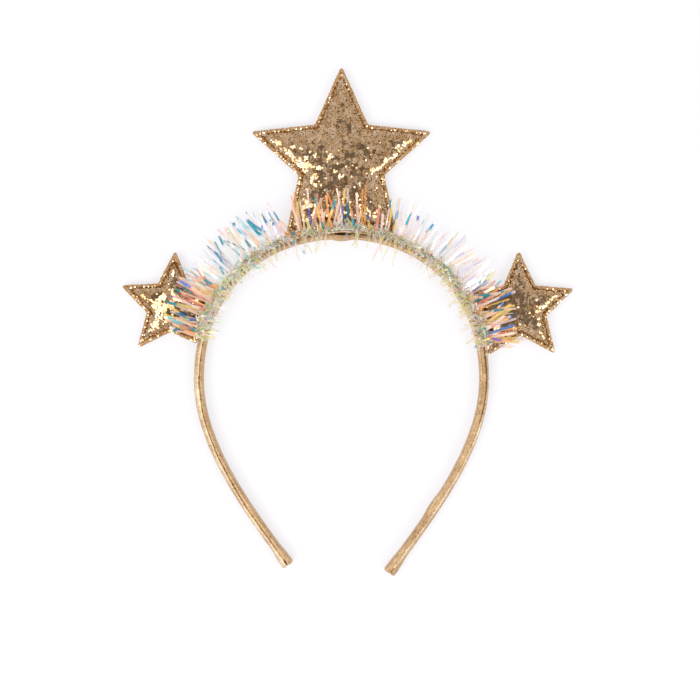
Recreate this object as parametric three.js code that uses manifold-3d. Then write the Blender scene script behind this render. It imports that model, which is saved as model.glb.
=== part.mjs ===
// Star tinsel headband, lying on its back edge: an arched band in gold leatherette, three padded glitter
// stars standing on its crown, and a film tinsel garland running along the front of the crown.
// Millimetres. X to the wearer's left as seen from the front, Y towards the crown, Z out of the stars.
import * as THREE from "three";
import Module from "manifold-3d";

const wasm = await Module();
wasm.setup();

// Gap left between neighbouring pieces
const GAP = 0.3;

// Band: its centre line in plan, from the crown down to the leg ends
const CROWN_HEIGHT = 151.8;
const WIDEST_HEIGHT = 86.5;
const HALF_SPAN = 64.2;
const END_OFFSET = 21.6;
const END_LEAN = 35.8;
const CROWN_PULL = 34.7;
const SHOULDER_PULL = 42.1;
const LEG_PULL = 31;
const END_PULL = 31.5;
const LEFT_END_TRIM = 4.4;

// Band: its section, flat inside and domed outside
const BAND_DEPTH = 7;
const BAND_THICKNESS = 4.4;
const BAND_STATIONS = 104;
const BAND_SECTION = [
  { out: -0.36, up: 0 },
  { out: 0.1, up: 0 },
  { out: 0.4, up: 0.18 },
  { out: 0.5, up: 0.38 },
  { out: 0.5, up: 0.62 },
  { out: 0.4, up: 0.82 },
  { out: 0.1, up: 1 },
  { out: -0.36, up: 1 },
  { out: -0.5, up: 0.91 },
  { out: -0.5, up: 0.09 },
];

// Band: where the wrap swells, by distance along the centre line from the crown (right side positive)
const BAND_SWELLS = [
  { along: 0, reach: 6, inner: 1, outer: 0 },
  { along: 165, reach: 8, inner: 0.6, outer: 0 },
  { along: 200, reach: 10, inner: 0.5, outer: 0.7 },
  { along: -196, reach: 10, inner: 0.5, outer: 0.7 },
];

// Stars: each stands on its two lower points, its feet, centred over a place along the band. Between the feet
// its cloth runs on down to the band.
const STARS = [
  { name: "center", radius: 41.8, feet: 41.8, rounding: 1.3, along: 0 },
  { name: "left", radius: 23.8, feet: 19.8, rounding: 1, along: -75.6 },
  { name: "right", radius: 24.9, feet: 24.9, rounding: 1, along: 77.6 },
];
const FOOT_POINTS = [2, 3];
const BASE_STEPS = 8;
const POINT_HALF_ANGLE = 24.2;
const WAIST_ROUNDING = 1.5;
const STAR_SEAM_HEIGHT = 3.3;
const BACK_PANEL = 1.1;
const RIM_HEIGHT = 1;
const STITCH_INSET = 1.7;
const STITCH_DIP = 0.45;
const PUFF = 2.3;
const PUFF_SOFTNESS = 3.2;
const FRONT_INSETS = [0, 1.2, 1.7, 2.4, 3.6, 5.6, 8.6];
const FIELD_MIDDLE = 0.92;

// Tinsel: a twisted core with film strips standing off it all round
const TINSEL_REACH = 89;
const CORE_RADIUS = 1.1;
const CORE_OUT = 2.1;
const CORE_HEIGHT = 7.45;
const CORE_STATIONS = 44;
const CORE_SIDES = 8;
const STRIP_COUNT = 168;
const STRIP_WIDTH = 2.2;
const STRIP_THICKNESS = 0.7;
const STRIP_SHORT = 13;
const STRIP_LONG = 20;
const STRIP_LOWEST = 10;
const STRIP_HIGHEST = 148;
const STRIP_SLANT = 0.45;

// Tinsel: strips that rise past upright lean in over the head, and shorten down to this share of their length
const INWARD_START = 70;
const INWARD_FULL = 110;
const INWARD_LENGTH = 0.68;

// Even spreads that vary the strips, each with its first fraction and its step
const RISE = { start: 0.2, step: 0.618034 };
const SLANT = { start: 0.4, step: 0.754878 };
const LENGTH = { start: 0.1, step: 0.56984 };

const LEATHERETTE = { color: "#c9a36f", roughness: 0.38, metalness: 0.6 };
const GLITTER = { color: "#b98d55", roughness: 0.45, metalness: 0.7 };
const BACKING = { color: "#c2a070", roughness: 0.8, metalness: 0.1 };
const FILM = { color: "#d9c3c8", roughness: 0.18, metalness: 0.3 };

const rad = THREE.MathUtils.degToRad;
const headband = new THREE.Group();
headband.name = "star_tinsel_headband";

function addPiece(name, geometry, finish) {
  const mesh = new THREE.Mesh(geometry, new THREE.MeshStandardMaterial(finish));
  mesh.name = name;
  headband.add(mesh);
}

// A closed body through rings of equal point count, each end filled by a fan from its middle
function loft(rings) {
  const count = rings[0].length;
  const ends = [rings[0], rings.at(-1)].map((ring) => {
    const middle = new THREE.Vector3();
    ring.forEach((point) => middle.addScaledVector(point, 1 / count));
    return middle;
  });
  const points = [...rings.flat(), ...ends];
  const index = [];
  const last = (rings.length - 1) * count;
  for (let i = 0; i < count; i++) {
    const next = (i + 1) % count;
    index.push(next, i, points.length - 2);
    index.push(last + i, last + next, points.length - 1);
    for (let row = 0; row < last; row += count) {
      index.push(row + i, row + next, row + count + next);
      index.push(row + i, row + count + next, row + count + i);
    }
  }
  const geometry = new THREE.BufferGeometry().setFromPoints(points);
  geometry.setIndex(index);
  geometry.computeVertexNormals();
  return geometry;
}

// The band's centre line from the left leg end over the crown to the right leg end
function bandLine() {
  const lean = rad(END_LEAN);
  const knee = new THREE.Vector2(END_OFFSET + END_PULL * Math.sin(lean), END_PULL * Math.cos(lean));
  const hip = WIDEST_HEIGHT - LEG_PULL;
  const shoulder = WIDEST_HEIGHT + SHOULDER_PULL;
  const path = new THREE.Path();
  path.moveTo(-END_OFFSET, 0);
  path.bezierCurveTo(-knee.x, knee.y, -HALF_SPAN, hip, -HALF_SPAN, WIDEST_HEIGHT);
  path.bezierCurveTo(-HALF_SPAN, shoulder, -CROWN_PULL, CROWN_HEIGHT, 0, CROWN_HEIGHT);
  path.bezierCurveTo(CROWN_PULL, CROWN_HEIGHT, HALF_SPAN, shoulder, HALF_SPAN, WIDEST_HEIGHT);
  path.bezierCurveTo(HALF_SPAN, hip, knee.x, knee.y, END_OFFSET, 0);
  return path;
}

const line = bandLine();
const lineLength = line.getLength();

// The place on the centre line at a distance from the crown, with its run and its outward direction
function placeAt(along) {
  const t = THREE.MathUtils.clamp(0.5 + along / lineLength, 0, 1);
  const point = line.getPoint(t);
  const run = line.getTangent(t);
  return { point, run, out: new THREE.Vector2(-run.y, run.x) };
}

// A point beside the centre line, offset outward and at a height over the floor
function beside(along, out, height) {
  const place = placeAt(along);
  return new THREE.Vector3(place.point.x + place.out.x * out, place.point.y + place.out.y * out, height);
}

function swellAt(along, side) {
  let swell = 0;
  for (const row of BAND_SWELLS) {
    const near = 1 - ((along - row.along) / row.reach) ** 2;
    swell += near > 0 ? row[side] * near ** 2 : 0;
  }
  return swell;
}

function band() {
  const rings = [];
  const leftEnd = LEFT_END_TRIM - lineLength / 2;
  for (let i = 0; i <= BAND_STATIONS; i++) {
    const along = THREE.MathUtils.lerp(leftEnd, lineLength / 2, i / BAND_STATIONS);
    const inner = swellAt(along, "inner");
    const outer = swellAt(along, "outer");
    rings.push(BAND_SECTION.map((corner) => {
      const swell = corner.out < 0 ? inner : outer;
      return beside(along, corner.out * (BAND_THICKNESS + 2 * swell), corner.up * BAND_DEPTH);
    }));
  }
  return loft(rings);
}

// A five-pointed star outline about its centre: points and waists rounded by arcs, a base between the feet
function starOutline(star, base) {
  const halfAngle = rad(POINT_HALF_ANGLE);
  const sharp = star.radius - star.rounding + star.rounding / Math.sin(halfAngle);
  const waist = sharp * Math.sin(halfAngle) / Math.sin(halfAngle + rad(36));
  const pointArc = rad(90) - halfAngle;
  const waistArc = rad(54) - halfAngle;
  const waistCentre = waist + WAIST_ROUNDING / Math.cos(waistArc);
  const outline = [];
  const arc = (aim, centre, rounding, turns) => turns.forEach((turn) => outline.push(new THREE.Vector2(
    centre * Math.cos(aim) + rounding * Math.cos(aim + turn),
    centre * Math.sin(aim) + rounding * Math.sin(aim + turn),
  )));
  for (let i = 0; i < 5; i++) {
    const aim = rad(90 + 72 * i);
    const reach = FOOT_POINTS.includes(i) ? star.feet : star.radius;
    arc(aim, reach - star.rounding, star.rounding, [-pointArc, -pointArc / 3, pointArc / 3, pointArc]);
    if (i === FOOT_POINTS[0]) outline.push(...base);
    else arc(aim + rad(36), waistCentre, -WAIST_ROUNDING, [waistArc, 0, -waistArc]);
  }
  return { outline, apothem: sharp * Math.sin(halfAngle) };
}

// Where a star stands: its feet rest on the band's outer face, a gap away, each at a reach from its place
function standStar(star) {
  const stand = BAND_THICKNESS / 2 + GAP + star.rounding;
  const footCentre = star.feet - star.rounding;
  const base = 2 * footCentre * Math.sin(rad(36));
  let low = 0;
  let high = base;
  let foot = [];
  for (let i = 0; i < 40; i++) {
    const half = (low + high) / 2;
    foot = [beside(star.along - half, stand, 0), beside(star.along + half, stand, 0)];
    if (foot[0].distanceTo(foot[1]) < base) low = half;
    else high = half;
  }
  const run = new THREE.Vector3().subVectors(foot[1], foot[0]).normalize();
  const up = new THREE.Vector3(-run.y, run.x, 0);
  const centre = new THREE.Vector3().addVectors(foot[0], foot[1]).multiplyScalar(0.5);
  centre.addScaledVector(up, footCentre * Math.cos(rad(36)));
  const standing = new THREE.Matrix4().makeBasis(run, up, new THREE.Vector3(0, 0, 1)).setPosition(centre);
  return { standing, reach: low };
}

// The star's edge between its feet, in its own frame: it follows the band's outer face, a gap away
function starBase(star, standing, reach) {
  const toStar = standing.clone().invert();
  const base = [];
  for (let i = 1; i < BASE_STEPS; i++) {
    const along = star.along + reach * (2 * i / BASE_STEPS - 1);
    const point = beside(along, BAND_THICKNESS / 2 + GAP, 0).applyMatrix4(toStar);
    base.push(new THREE.Vector2(point.x, point.y));
  }
  return base;
}

// The padded panel: a sewn rim, a dip at the stitching, then the puffed field
function frontHeight(inset) {
  if (inset < STITCH_INSET) return RIM_HEIGHT;
  if (inset === STITCH_INSET) return RIM_HEIGHT - STITCH_DIP;
  return RIM_HEIGHT + PUFF * (1 - Math.exp(-(inset - STITCH_INSET) / PUFF_SOFTNESS));
}

function addStar(star) {
  const { standing, reach } = standStar(star);
  const { outline, apothem } = starOutline(star, starBase(star, standing, reach));
  const ring = (scale, height) => outline.map((p) => new THREE.Vector3(p.x * scale, p.y * scale, height));
  const seam = STAR_SEAM_HEIGHT + GAP / 2;
  const rings = [ring(1, seam)];
  for (const inset of [...FRONT_INSETS, apothem * FIELD_MIDDLE]) {
    rings.push(ring(1 - inset / apothem, seam + frontHeight(inset)));
  }
  addPiece(`star_${star.name}_front`, loft(rings).applyMatrix4(standing), GLITTER);
  const panel = { depth: BACK_PANEL, bevelEnabled: false };
  const back = new THREE.ExtrudeGeometry(new THREE.Shape(outline), panel);
  back.translate(0, 0, STAR_SEAM_HEIGHT - GAP / 2 - BACK_PANEL);
  addPiece(`star_${star.name}_back`, back.applyMatrix4(standing), BACKING);
}

// A closed mesh as a solid that can be joined to others, and back again
function solid(geometry) {
  const mesh = new wasm.Mesh({
    numProp: 3,
    vertProperties: new Float32Array(geometry.attributes.position.array),
    triVerts: new Uint32Array(geometry.index.array),
  });
  mesh.merge();
  return new wasm.Manifold(mesh);
}

function geometryOf(body) {
  const mesh = body.getMesh();
  const geometry = new THREE.BufferGeometry();
  geometry.setAttribute("position", new THREE.BufferAttribute(mesh.vertProperties, 3));
  geometry.setIndex(new THREE.BufferAttribute(mesh.triVerts, 1));
  geometry.computeVertexNormals();
  return geometry;
}

// The fraction that one strip takes from an even spread
function spread(i, row) {
  return (row.start + i * row.step) % 1;
}

function tinselCore() {
  const rings = [];
  for (let i = 0; i <= CORE_STATIONS; i++) {
    const along = (2 * i / CORE_STATIONS - 1) * TINSEL_REACH;
    const ring = [];
    for (let k = 0; k < CORE_SIDES; k++) {
      const turn = 2 * Math.PI * k / CORE_SIDES;
      const out = CORE_OUT + CORE_RADIUS * Math.cos(turn);
      ring.push(beside(along, out, CORE_HEIGHT + CORE_RADIUS * Math.sin(turn)));
    }
    rings.push(ring);
  }
  return loft(rings);
}

function tinselStrip(i) {
  const along = (2 * (i + 0.5) / STRIP_COUNT - 1) * (TINSEL_REACH - STRIP_WIDTH);
  const place = placeAt(along);
  const rise = rad(THREE.MathUtils.lerp(STRIP_LOWEST, STRIP_HIGHEST, spread(i, RISE)));
  const slant = STRIP_SLANT * (2 * spread(i, SLANT) - 1);
  const inward = THREE.MathUtils.smoothstep(rise, rad(INWARD_START), rad(INWARD_FULL));
  const full = THREE.MathUtils.lerp(STRIP_SHORT, STRIP_LONG, spread(i, LENGTH));
  const length = full * THREE.MathUtils.lerp(1, INWARD_LENGTH, inward);
  const run = new THREE.Vector3(place.run.x, place.run.y, 0);
  const aim = new THREE.Vector3(place.out.x * Math.cos(rise), place.out.y * Math.cos(rise), Math.sin(rise));
  aim.addScaledVector(run, slant).normalize();
  const side = new THREE.Vector3().copy(run).addScaledVector(aim, -run.dot(aim)).normalize();
  const face = new THREE.Vector3().crossVectors(aim, side);
  const strip = new THREE.BoxGeometry(STRIP_WIDTH, STRIP_THICKNESS, length).translate(0, 0, length / 2);
  const root = beside(along, CORE_OUT, CORE_HEIGHT);
  return strip.applyMatrix4(new THREE.Matrix4().makeBasis(side, face, aim).setPosition(root));
}

function tinsel() {
  let body = solid(tinselCore());
  for (let i = 0; i < STRIP_COUNT; i++) body = body.add(solid(tinselStrip(i)));
  return geometryOf(body);
}

addPiece("band", band(), LEATHERETTE);
STARS.forEach(addStar);
addPiece("tinsel", tinsel(), FILM);

// Origin under the middle of the whole, on the floor it lies on
const box = new THREE.Box3().setFromObject(headband);
const middle = box.getCenter(new THREE.Vector3());
headband.children.forEach((piece) => piece.geometry.translate(-middle.x, -middle.y, -box.min.z));

export default headband;
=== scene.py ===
import math
from functools import partial

import bmesh
import bpy
import numpy as np
from mathutils import Matrix, Vector, noise


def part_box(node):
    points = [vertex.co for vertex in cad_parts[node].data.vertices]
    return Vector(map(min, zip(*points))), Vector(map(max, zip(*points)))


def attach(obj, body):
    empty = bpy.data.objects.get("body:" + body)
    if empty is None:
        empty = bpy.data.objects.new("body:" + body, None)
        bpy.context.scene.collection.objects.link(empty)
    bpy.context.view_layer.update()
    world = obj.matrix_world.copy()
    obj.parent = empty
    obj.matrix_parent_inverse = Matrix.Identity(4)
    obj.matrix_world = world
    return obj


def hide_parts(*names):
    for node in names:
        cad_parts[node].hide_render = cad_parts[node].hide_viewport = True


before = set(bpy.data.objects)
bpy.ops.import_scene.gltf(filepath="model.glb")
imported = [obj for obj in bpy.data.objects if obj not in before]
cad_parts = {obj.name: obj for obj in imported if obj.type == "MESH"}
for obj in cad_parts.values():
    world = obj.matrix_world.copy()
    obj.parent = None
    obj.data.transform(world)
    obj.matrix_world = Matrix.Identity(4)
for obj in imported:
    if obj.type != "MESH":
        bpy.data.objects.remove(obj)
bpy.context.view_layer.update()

MM = 0.001

# Gap left between neighbouring pieces
GAP = 0.3

# Band: its centre line in plan
CROWN_HEIGHT = 151.8
WIDEST_HEIGHT = 86.5
HALF_SPAN = 64.2
END_OFFSET = 21.6
END_LEAN = 35.8
CROWN_PULL = 34.7
SHOULDER_PULL = 42.1
LEG_PULL = 31
END_PULL = 31.5
LEFT_END_TRIM = 4.4
LINE_STEPS = 400

# Band: its section, flat inside and domed outside, in shares of its thickness and depth
BAND_DEPTH = 7
BAND_THICKNESS = 4.4
BAND_SECTION = [(-0.36, 0), (0.1, 0), (0.4, 0.18), (0.5, 0.38), (0.5, 0.62),
                (0.4, 0.82), (0.1, 1), (-0.36, 1), (-0.5, 0.91), (-0.5, 0.09)]
SECTION_ROUNDS = 3
BAND_STATIONS = 620
FRONT_FACING = (0.2, 0.7)

# Band: where the wrap swells, by distance along the centre line from the crown (right side positive)
BAND_SWELLS = [
    {"along": 0, "reach": 6, "inner": 1, "outer": 0},
    {"along": 165, "reach": 8, "inner": 0.6, "outer": 0},
    {"along": 200, "reach": 10, "inner": 0.5, "outer": 0.7},
    {"along": -196, "reach": 10, "inner": 0.5, "outer": 0.7},
]

# Band: the lapped seam of the wrap on its front. Each row has the distance along, the place outward, the
# depth of the groove inside it, how far the lap outside it stands up, and how far its edge stands above
# that. Both fade away from the seam.
# Through the relief, the groove is also painted dark as shade and the lap's edge painted bright as a
# highlight.
SEAM = np.array([
    (-200, 0.5, 0.5, 0.18, 0.3), (-161, 0.4, 0.5, 0.18, 0.3), (-140, 0.05, 0.5, 0.18, 0.3),
    (-121, -0.15, 0.5, 0.18, 0.3), (-95, -0.3, 0.5, 0.18, 0.3), (95, 1.4, 0.6, 0.12, 0.2),
    (115, 1.3, 0.5, 0.1, 0.2), (135, 0.6, 0.16, 0.0, 0.55), (161, 0.4, 0.16, 0.0, 0.6),
    (200, 0.2, 0.2, 0.0, 0.6),
])
LAP_FADE = 0.4
GROOVE_FADE = 0.5

# Band: how the seam wanders and the wrap wrinkles, each a height and a wave length, and the streaks that
# the pull of wrapping leaves along the front
SEAM_WANDER = [(0.2, 9), (0.1, 2.25)]
WRINKLES = [(0.09, 2.6), (0.05, 1.1)]
STREAK_HEIGHT = 0.14
STREAK_LENGTH = 8
STREAK_WIDTH = 0.9
STREAK_PLANE = 0.5

# Band: slits in the wrap's front where the stars are fixed, and a nick near each leg end, with low lips
# Through the relief, a slit's depth also paints it dark as shadow, near black at the deepest.
SLITS = [
    {"along": 0.5, "out": 0.1, "half_length": 4.2, "half_width": 0.65, "depth": 1.4},
    {"along": -74, "out": -0.7, "half_length": 2.6, "half_width": 0.7, "depth": 1.4},
    {"along": 77.3, "out": 0.0, "half_length": 2.2, "half_width": 0.6, "depth": 1.4},
    {"along": -195.2, "out": 0.3, "half_length": 1.6, "half_width": 0.5, "depth": 0.6},
    {"along": 199.5, "out": 0.5, "half_length": 1.6, "half_width": 0.5, "depth": 0.7},
]
LIP_HEIGHT = 0.05
LIP_PLACE = 1.5
LIP_SPREAD = 0.4

# Band: the folded ends of the wrap, as rings from the rim to the middle of each end, by scale and offset,
# and the painted shade that darkens their middles
END_RINGS = [(0.97, 0.3), (0.88, 0.42), (0.74, 0.3), (0.56, -0.1), (0.36, -0.45), (0.16, -0.6)]
END_FOLDS = 6
END_FOLD_HEIGHT = 0.28
END_FOLD_SKEW = 0.8
END_SHADE = -0.4

# Stars: each stands on its two lower points, its feet, centred over a place along the band, and its cloth
# runs on down to the band between them. Softness is how slowly the padding rises from the stitching, and
# lumps are soft rises of the wadding: place, spread and height. Lean is how the glitter lies as a whole,
# bow how much more it turns away from the middle, clump the size and tilt of small groups of flakes, and
# stray the share of flakes that lie looser. The rim's flakes are lighter by its painted light, a painted
# highlight on the rolled edge, and looser by its tilt.
STARS = [
    {"name": "center", "radius": 41.8, "feet": 41.8, "rounding": 1.3, "along": 0, "lean": (0.0, 0.0),
     "bow": 2.5, "clump": (1.9, 0.25), "stray": 0.14, "softness": 2.2, "rim_painted_light": 0.2, "rim_tilt": 0.16,
     "lumps": [(-1, 1, 5, 0.9)]},
    {"name": "left", "radius": 23.8, "feet": 19.8, "rounding": 1, "along": -75.6, "lean": (-0.035, -0.085),
     "bow": 6.5, "clump": (2.4, 0.33), "stray": 0.14, "softness": 0.9, "rim_painted_light": 0.1, "rim_tilt": 0.15,
     "lumps": []},
    {"name": "right", "radius": 24.9, "feet": 24.9, "rounding": 1, "along": 77.6, "lean": (0.02, -0.07),
     "bow": 0.8, "clump": (1.6, 0.14), "stray": 0.05, "softness": 0.9, "rim_painted_light": 0.2, "rim_tilt": 0.16,
     "lumps": []},
]
POINTS = 5
POINT_PITCH = 72
POINT_HALF_ANGLE = 24.2
FOOT_POINTS = (2, 3)
FOOT_TURN = 144
BASE_STEPS = 24
STAND_HALVINGS = 40
TIP_ROUNDING = 0.7
TIP_STEPS = 9
WAIST_ROUNDING = 1.5
WAIST_STEPS = 5
OUTLINE_STEP = 1.4

# Stars: the back panel, and the front panel's rim, stitching and padding. The field's hollows are heights
# and wave lengths, and the puckers are where the stitching gathers the cloth.
STAR_SEAM_HEIGHT = 3.3
BACK_PANEL = 1.1
BACK_MIDDLE = 0.5
RIM_HEIGHT = 1
RIM_ROUNDING = 1.3
RIM_DROP = 0.45
RIM_FADE = (1.8, 2.6)
STITCH_INSET = 1.7
STITCH_DIP = 0.45
STITCH_SPREAD = 0.42
PUFF = 2.2
FIELD_START = (2, 4.5)
FIELD_HOLLOWS = [(0.18, 9), (0.08, 4)]
PUCKER_HEIGHT = 0.12
PUCKER_INSET = 2.6
PUCKER_SPREAD = 0.8
PANEL_INSETS = [0, 0.1, 0.3, 0.7, 1.1, 1.4, 1.7, 2, 2.3, 2.7, 3.2, 3.9, 4.8, 5.8, 7, 8.4, 10, 12, 14, 16]
PANEL_INNERMOST = 0.94
PANEL_MIDDLE = 0.985

# Stars: the back panel's section from its middle out to the edge and back, as insets with rises from its
# lower face and then with drops from its upper face
BACK_LOWER = [(3, 0), (2.1, 0.04), (1.7, 0.22), (1.3, 0.04), (0.5, 0.03), (0.15, 0.12), (0, 0.4)]
BACK_UPPER = [(0, 0.3), (0.12, 0.06), (0.5, 0)]

# Glitter flakes: thinned in the stitched groove, and only where the panel faces upward
FLAKE_RADIUS = 0.46
FLAKE_SCALE = (0.75, 1.2)
FLAKE_SIDES = 6
FLAKE_SPACING = 0.54
FLAKE_CROWDING = 0.3
FLAKE_LIFT = 0.12
FLAKE_FACING = 0.2
FLAKE_TILT = 0.022
STRAY_TILT = 0.15
PATCH_SIZE = 7
PATCH_TILT = 0.26
RIM_FLAKE_SIZE = 0.75
DARKEST_SHADE = 0.12
CLUMP_SHADE = 0.55
GROOVE_THINNING = 0.8

# The sewn line round each star
STITCH_PITCH = 1.9
STITCH_LENGTH = 1.2
STITCH_LIFT = 0.12
THREAD_WIDTH = 0.5
THREAD_SIDES = 8
THREAD_RINGS = 5

# Tinsel: where the garland runs, and its twisted core
TINSEL_ENDS = (-84.5, 88)
CORE_OUT = 2.1
CORE_HEIGHT = 7.45
CORE_RADIUS = 0.8
CORE_TURN = 5
CORE_STEP = 0.5
PLY_SIDES = 12
PLY_FLATNESS = 0.55

# Tinsel: film strips standing off the core all round. Each side has a count of strips, their rise from the
# outward direction in degrees, their length, their film and how far they stay clear of the crown.
STRIP_SIDES = [
    {"count": 320, "rise": (-14, 40), "length": (13, 20), "film": "outer", "clear": 0},
    {"count": 100, "rise": (40, 110), "length": (11, 17), "film": "outer", "clear": 0},
    {"count": 100, "rise": (130, 172), "length": (7, 13), "film": "inner", "clear": 5.5},
    {"count": 260, "rise": (135, 176), "length": (4, 9), "film": "inner", "clear": 40},
]
STRIP_WIDTH = (0.65, 1.35)
STRIP_STEPS = 7
STRIP_SLANT = 0.2
STRIP_SWAY = 0.5
SLANT_LIMIT = 0.7
STRIP_TUFT = 9
TUFT_LENGTH = 0.22
TUFT_SHIFT = 5.5
TUFT_PLANE = 0.3
STRIP_ROLL = 18
STRIP_CURL = 2.2
FLOOR_CLEARANCE = 0.8
UPRIGHT_LIMIT = 1e-3

# Tinsel: a stretch of the garland where strips are shorter, and stretches over the large star where a
# share of them is left out, so that its cloth shows
SHORT_STRETCH = (27, 60)
SHORT_SHARE = 0.82
THIN_STRETCHES = [(-30, 9, 0.46), (9, 30, 0.76)]

# Tinsel: a strip lies over a star if a point this share of its length out is on it or near it. There a low
# strip is raised off the star, and every strip but those leaning inward takes the warm colours, which are
# painted reflection: the film's reflected tint as it shows against the dark glitter.
STRIP_MIDDLE = 0.6
NEAR_STAR = 3.5
LOW_RISE = 60
OVER_STAR_RISE = 4
INWARD_RISE = 100

# Tinsel: where a strip's second colour starts, how long it is and how soft its ends are, in shares of the
# strip, and the share of strips on the right that show only their first. The second colour is a painted
# iridescent reflection.
FLASH_START = (0.05, 1.25)
FLASH_SPAN = (0.2, 0.65)
FLASH_EDGE = 0.04
CALM_RIGHT = 0.65

# Tinsel: short ends of film crowded round the core, in a narrower row near the crown
BIT_COUNT = 1150
BIT_BREADTH = (1.6, 5)
BIT_CLEAR_ENDS = (18, 48)
BIT_OUTERMOST = 1.2
BIT_CROWDING = 1.2
BIT_LAYER = 1.2
BIT_RISE = (0, 40)
BIT_ROLL = 40
BIT_LENGTH = (1.4, 4)
BIT_WIDTH = (0.4, 0.85)
BIT_CURL = 0.6
SLIT_CLEARANCE = 1.2
SLIT_SWING = 1

# Film colours: sRGB tint, how much it covers, and how often it comes
OPEN_FILM = [("#FFF4EC", 0.4, 36), ("#FFDCC8", 0.42, 16), ("#E9F6F6", 0.42, 14), ("#ECE6F8", 0.42, 16),
             ("#FFF6DC", 0.42, 8), ("#F9D27A", 0.5, 3), ("#DDE38A", 0.5, 2)]
OPEN_FLASH = [("#1C9CAE", 0.9, 19), ("#3489BE", 0.9, 8), ("#7F74CA", 0.8, 3), ("#FFC9A8", 0.6, 20),
              ("#A9DEE2", 0.65, 22), ("#D3C6EE", 0.6, 14)]
# Over the stars, warmer and denser tints: painted reflection of the film against the dark glitter
STAR_REFLECTION_FILM = [("#FFDABC", 0.74, 28), ("#FFB26A", 0.74, 13), ("#FFD97E", 0.72, 14), ("#F3A08A", 0.68, 7),
             ("#FFEADD", 0.72, 12), ("#2FA3AE", 0.8, 4), ("#4C86C4", 0.8, 1), ("#E8E47C", 0.7, 3)]
STAR_REFLECTION_FLASH = [("#FFDABC", 0.78, 16), ("#FFD774", 0.76, 12), ("#F2957A", 0.76, 7), ("#1C98A6", 0.88, 26),
              ("#3B78BE", 0.85, 8), ("#7466C4", 0.8, 4), ("#FFF6EC", 0.7, 4), ("#8A6A58", 0.28, 30)]
INNER_FILM = [("#F6F0C4", 0.5, 26), ("#F8F2E2", 0.42, 22), ("#EBE38A", 0.55, 10), ("#FBDDBE", 0.5, 16),
              ("#E9F2E4", 0.38, 10), ("#DFF0F0", 0.38, 8), ("#EFE4F6", 0.38, 8)]
INNER_FLASH = [("#FDF7DA", 0.4, 40), ("#F0E890", 0.5, 14), ("#DCEFEF", 0.4, 20), ("#8CCBC8", 0.6, 3)]
SIDE_FILMS = {"outer": (OPEN_FILM, OPEN_FLASH), "inner": (INNER_FILM, INNER_FLASH)}
# The grey-brown tints here and in the lime bits are painted shade among the crowded ends.
CORE_FILM = [("#E2E0AC", 0.6, 20), ("#EBD98E", 0.65, 8), ("#CDE2D0", 0.6, 16), ("#F6ECE2", 0.65, 18),
             ("#E2C8D2", 0.6, 12), ("#3FA596", 0.78, 5), ("#DEB58C", 0.65, 9), ("#8A8078", 0.6, 11),
             ("#F5C956", 0.65, 6)]
LIME_FILM = [("#D2DE7E", 0.6, 12), ("#ECEBB0", 0.6, 16), ("#FDF8EA", 0.6, 26), ("#C4E2D0", 0.6, 16),
             ("#EBD2B0", 0.55, 10), ("#A69C8A", 0.5, 4), ("#3FA8A6", 0.75, 4)]
LIME_END = -45

# Camera: straight above the picture's middle, from the line between the leg ends; millimetres for a pixel
PICTURE_SIZE = 700
PICTURE_SCALE = 0.45
PICTURE_MIDDLE = (3.829, 99.683)
PICTURE_LEVEL = 3.5
LENS = 85
SENSOR = 36

# Floor: a square, by its reach from the middle in metres and its gap under the headband
FLOOR_REACH = 20
FLOOR_GAP = 0.2

# Sky: its radiance by the cosine of the angle from its darkest place, a little off the zenith
DARK_POLE = (0.03, -0.052, 0.9982)
SKY = [(0.0, 0.8), (0.64, 0.85), (0.9, 0.82), (0.965, 0.74), (0.9703, 0.38), (0.985, 0.3), (1.0, 0.22)]
SKY_HUE = (0.98, 0.975, 1.03)
SKY_STRENGTH = 2

# Softboxes: where they stand in metres, their size and their radiance
SOFTBOXES = [
    {"name": "key", "at": (-0.42, -0.33, 0.85), "size": 0.7, "radiance": 2.8, "hue": (0.98, 0.985, 1.02)},
    {"name": "fill", "at": (0.62, -0.32, 0.82), "size": 0.5, "radiance": 2.8, "hue": (0.98, 0.985, 1.02)},
]

SEED = 7
random = np.random.default_rng(SEED)


def tone(colour):
    """An sRGB hex colour as the linear colour that shaders take."""
    channels = [int(colour[i:i + 2], 16) / 255 for i in (1, 3, 5)]
    return (*(c / 12.92 if c <= 0.04045 else ((c + 0.055) / 1.055) ** 2.4 for c in channels), 1)


def set_inputs(node, inputs):
    """Gives each named input of a node a value, or a link from a socket or a node's first output."""
    for name, value in inputs.items():
        if isinstance(value, bpy.types.Node):
            value = value.outputs[0]
        if isinstance(value, bpy.types.NodeSocket):
            node.id_data.links.new(value, node.inputs[name])
        else:
            node.inputs[name].default_value = value


def add_node(tree, kind, inputs=None, stops=(), **settings):
    """Adds a node with its settings, its inputs and, on a colour ramp, its stops of place and colour."""
    node = tree.nodes.new(kind)
    for name, value in settings.items():
        setattr(node, name, value)
    set_inputs(node, inputs or {})
    if stops:
        ends = node.color_ramp.elements
        for end, (position, colour) in zip((ends[0], ends[1]), (stops[0], stops[-1])):
            end.position = position
            end.color = tone(colour)
        for position, colour in stops[1:-1]:
            ends.new(position).color = tone(colour)
    return node


def new_material(name):
    """A material, what adds nodes to it, and its one shader."""
    material = bpy.data.materials.new(name)
    material.use_nodes = True
    return material, partial(add_node, material.node_tree), material.node_tree.nodes["Principled BSDF"]


# Mesh helpers

def new_mesh(name, points, faces, edges=()):
    """A mesh from points in millimetres, its faces turned outward and shaded smooth."""
    mesh = bpy.data.meshes.new(name)
    mesh.from_pydata((np.asarray(points) * MM).tolist(), edges, faces)
    if faces:
        shell = bmesh.new()
        shell.from_mesh(mesh)
        bmesh.ops.recalc_face_normals(shell, faces=shell.faces)
        shell.to_mesh(mesh)
        shell.free()
        mesh.shade_smooth()
    return mesh


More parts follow.
